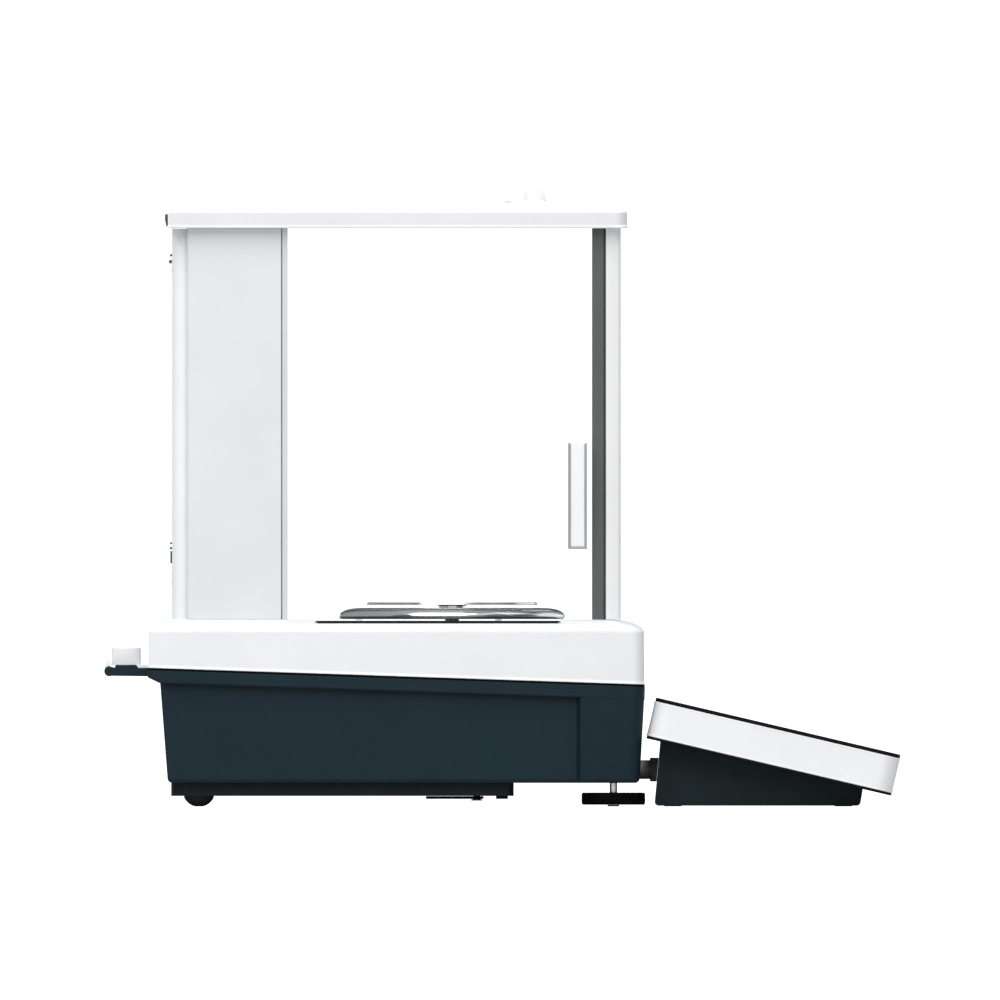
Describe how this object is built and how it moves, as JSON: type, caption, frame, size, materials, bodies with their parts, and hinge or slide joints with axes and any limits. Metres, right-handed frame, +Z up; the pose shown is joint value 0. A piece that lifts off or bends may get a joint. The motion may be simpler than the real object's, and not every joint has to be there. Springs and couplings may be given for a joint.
{
  "type": "analytical balance",
  "caption": "Analytical balance: glass draft shield with sliding doors, round pan on a domed guard, rear column, levelling feet and a tilted touch terminal.",
  "frame": {"origin": "centre of the bounding box on the table surface that the feet stand on", "axes": "+Z up, the user sits at -Y where the terminal is, the left door is at -X"},
  "size_m": [0.204, 0.458, 0.3543],
  "materials": {
    "white_shell": "satin white moulded plastic",
    "tray_dark": "fine matt blue-black paint on cast metal",
    "seam_black": "matt",
    "cast_black": "matt paint",
    "screw_steel": "bright",
    "foot_rubber": "matt",
    "insert_brass": "machined",
    "level_white": "gloss",
    "vial_clear": "clear",
    "panel_black": "matt",
    "socket_metal": "satin",
    "floor_black": "gloss black enamel",
    "column_white": "satin powder coat",
    "trim_grey": "satin",
    "latch_grey": "satin",
    "board_green": "solder resist",
    "shield_glass": "clear float glass",
    "post_white": "satin powder coat",
    "seal_grey": "satin",
    "handle_white": "satin gloss",
    "handle_clear": "frosted translucent",
    "pan_steel": "polished stainless steel",
    "cell_aluminium": "milled",
    "magnet_iron": "nickel plated",
    "coil_copper": "enamelled wire",
    "weight_brass": "polished",
    "wheel_black": "fine texture",
    "touch_black": "gloss black backed glass",
    "terminal_white": "satin",
    "stand_dark": "fine texture",
    "connector_grey": "satin"
  },
  "bodies": {
    "base": {"base_tray": "tray_dark", "base_shell": "white_shell", "seam_gasket": "seam_black", "bottom_plate": "cast_black", "bottom_screws": "screw_steel", "rear_feet": "foot_rubber", "foot_inserts": "insert_brass", "level_housing": "level_white", "level_vial": "vial_clear", "rear_lip": "level_white", "connector_panel": "panel_black", "power_inlet": "panel_black", "data_ports": "socket_metal", "chamber_floor": "floor_black", "column_housing": "column_white", "column_side_left": "column_white", "column_side_right": "column_white", "column_trims": "trim_grey", "rear_cover": "column_white", "rear_cover_screws": "screw_steel", "shield_latches": "latch_grey", "main_board": "board_green", "roof_frame": "white_shell", "front_glass": "shield_glass", "front_posts": "post_white", "front_seals": "seal_grey", "pan_support": "cell_aluminium", "cell_block": "cell_aluminium", "cell_magnet": "magnet_iron", "cell_coil": "coil_copper", "chassis_plate": "cell_aluminium", "weighing_hook": "screw_steel", "calibration_motor": "latch_grey", "hook_cover_screw": "screw_steel"},
    "left_door": {"left_door_glass": "shield_glass", "left_door_handle": "handle_white"},
    "right_door": {"right_door_glass": "shield_glass", "right_door_handle": "handle_white"},
    "top_door": {"top_door_glass": "shield_glass", "top_door_bar": "seal_grey", "top_door_handle": "handle_clear"},
    "guard": {"guard_ring": "pan_steel"},
    "weighing_pan": {"pan": "pan_steel"},
    "left_foot": {"left_foot_tip": "foot_rubber"},
    "right_foot": {"right_foot_tip": "foot_rubber"},
    "left_wheel": {"left_thumbwheel": "wheel_black", "left_spindle": "screw_steel"},
    "right_wheel": {"right_thumbwheel": "wheel_black", "right_spindle": "screw_steel"},
    "hook_flap": {"hook_cover": "cast_black"},
    "lift_screw": {"calibration_screw": "screw_steel"},
    "lift_carriage": {"calibration_fork": "cell_aluminium", "calibration_weight": "weight_brass"},
    "terminal": {"terminal_stand": "stand_dark", "terminal_frame": "terminal_white", "terminal_back": "stand_dark", "touch_glass": "touch_black", "display_module": "board_green", "terminal_feet": "foot_rubber", "connector": "connector_grey"}
  },
  "joints": [
    {"name": "left_door_slide", "type": "slide", "parent": "base", "child": "left_door", "axis": [0, 1, 0], "range_m": [0, 0.15]},
    {"name": "right_door_slide", "type": "slide", "parent": "base", "child": "right_door", "axis": [0, 1, 0], "range_m": [0, 0.15]},
    {"name": "top_door_slide", "type": "slide", "parent": "base", "child": "top_door", "axis": [0, 1, 0], "range_m": [0, 0.11]},
    {"name": "guard_lift", "type": "slide", "parent": "base", "child": "guard", "axis": [0, 0, 1], "range_m": [0, 0.06]},
    {"name": "pan_lift", "type": "slide", "parent": "guard", "child": "weighing_pan", "axis": [0, 0, 1], "range_m": [0, 0.08]},
    {"name": "left_foot_lift", "type": "slide", "parent": "base", "child": "left_foot", "axis": [0, 0, 1], "range_m": [-0.0032, 0.0032]},
    {"name": "left_wheel_turn", "type": "hinge", "parent": "left_foot", "child": "left_wheel", "pos_m": [-0.078, -0.0638, 0.005], "axis": [0, 0, 1], "range_deg": [-1440, 1440]},
    {"name": "right_foot_lift", "type": "slide", "parent": "base", "child": "right_foot", "axis": [0, 0, 1], "range_m": [-0.0032, 0.0032]},
    {"name": "right_wheel_turn", "type": "hinge", "parent": "right_foot", "child": "right_wheel", "pos_m": [0.078, -0.0638, 0.005], "axis": [0, 0, 1], "range_deg": [-1440, 1440]},
    {"name": "hook_cover_swing", "type": "hinge", "parent": "base", "child": "hook_flap", "pos_m": [0, 0.0148, 0.005], "axis": [0, 0, 1], "range_deg": [0, 150]},
    {"name": "lift_screw_turn", "type": "hinge", "parent": "base", "child": "lift_screw", "pos_m": [0.044, 0.06, 0.05], "axis": [0, 0, 1], "range_deg": [0, 450]},
    {"name": "weight_lift", "type": "slide", "parent": "base", "child": "lift_carriage", "axis": [0, 0, 1], "range_m": [0, 0.005]},
    {"name": "terminal_pull", "type": "slide", "parent": "base", "child": "terminal", "axis": [0, -1, 0], "range_m": [0, 0.06]}
  ],
  "couplings": [
    {"joint": "left_foot_lift", "follows": "left_wheel_turn", "m_per_rad": 0.00012732},
    {"joint": "right_foot_lift", "follows": "right_wheel_turn", "m_per_rad": 0.00012732},
    {"joint": "lift_screw_turn", "follows": "weight_lift", "rad_per_m": 1570.8}
  ]
}
